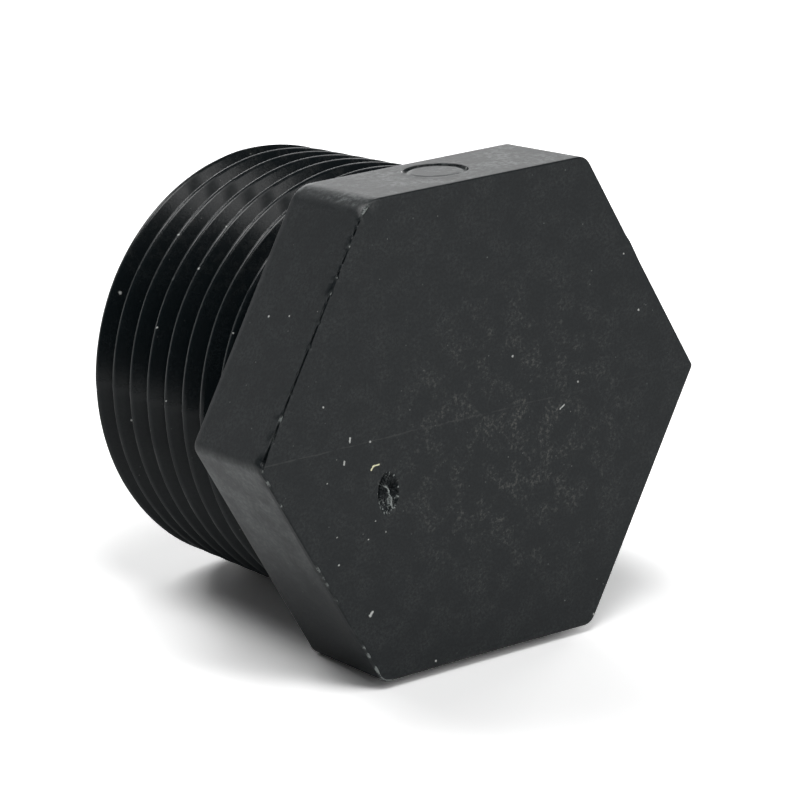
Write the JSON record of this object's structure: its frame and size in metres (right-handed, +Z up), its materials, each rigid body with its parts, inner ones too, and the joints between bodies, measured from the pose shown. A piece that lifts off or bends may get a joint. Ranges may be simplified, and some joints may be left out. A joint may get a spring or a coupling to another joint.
{
  "type": "plastic pipe plug",
  "caption": "Black moulded plastic hexagon-head pipe plug with a male taper pipe thread, lying on its side.",
  "frame": {"origin": "on the floor, under the middle of the bounding box of the plug as it lies", "axes": "+X along the hexagon's long diagonal, +Y towards the threaded end, +Z up"},
  "size_m": [0.0414, 0.0314, 0.0368],
  "materials": {
    "black_plastic": "satin"
  },
  "bodies": {
    "root": {"pipe_plug": "black_plastic"}
  },
  "joints": []
}
